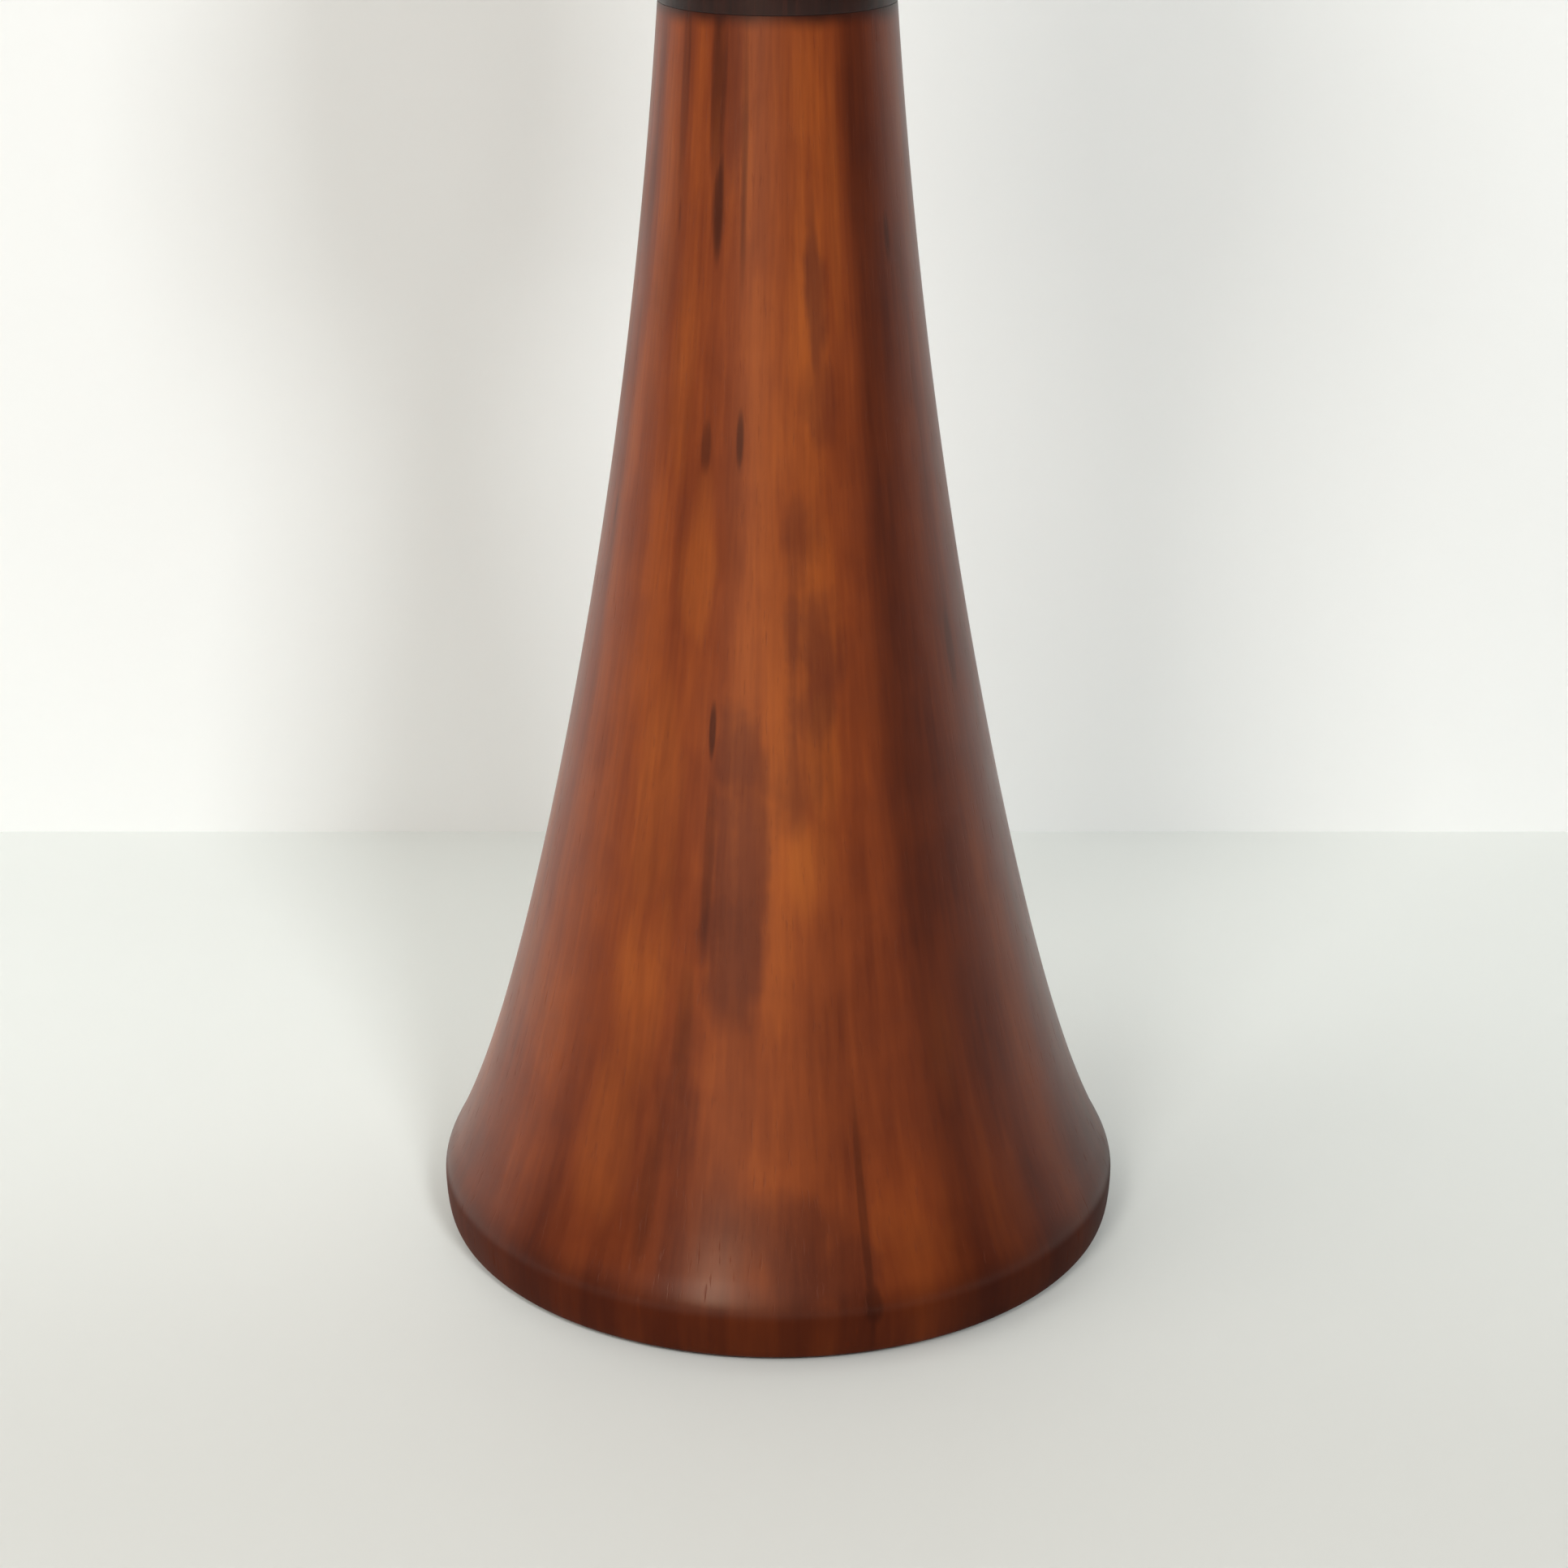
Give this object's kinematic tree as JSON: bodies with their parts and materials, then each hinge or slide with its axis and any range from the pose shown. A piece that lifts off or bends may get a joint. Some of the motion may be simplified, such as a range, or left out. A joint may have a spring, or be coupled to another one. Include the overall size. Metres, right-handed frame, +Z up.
{
  "type": "dip pen holder",
  "caption": "Turned cherry desk stand for dip pens: a bell-shaped weighted pedestal, a dark collar at the neck and a bulb head that turns and has brass-lined pen sockets in its crown.",
  "frame": {"origin": "centre of the pad's underside, on the surface that the stand rests on", "axes": "+Z up along the turning axis of the pedestal, spindle and head; -Y is the side that faces the user; +X to the user's right"},
  "size_m": [0.07, 0.07, 0.1955],
  "materials": {
    "cherry_wood": "satin shellac",
    "black_wood": "satin",
    "brass": "aged, polished",
    "steel": "satin",
    "iron": "as cast",
    "baize": "felted wool"
  },
  "bodies": {
    "stand": {"foot_pad": "baize", "pedestal": "cherry_wood", "ballast_ring": "iron", "ballast_screw_1": "steel", "ballast_screw_2": "steel", "ballast_screw_3": "steel", "base_nut": "steel", "base_washer": "steel", "neck_nut": "brass", "spindle": "steel", "collar": "black_wood", "thrust_washer": "brass", "crown_washer": "brass", "finial_insert": "brass", "finial": "black_wood"},
    "turret": {"head": "cherry_wood", "lower_bush": "brass", "upper_bush": "brass", "socket_ferrule_1": "brass", "socket_ferrule_2": "brass", "socket_ferrule_3": "brass", "socket_ferrule_4": "brass", "socket_ferrule_5": "brass", "socket_ferrule_6": "brass", "socket_cushion_1": "baize", "socket_cushion_2": "baize", "socket_cushion_3": "baize", "socket_cushion_4": "baize", "socket_cushion_5": "baize", "socket_cushion_6": "baize"}
  },
  "joints": [
    {"name": "head_turn", "type": "hinge", "parent": "stand", "child": "turret", "pos_m": [0, 0, 0.1283], "axis": [0, 0, 1], "continuous": true}
  ]
}
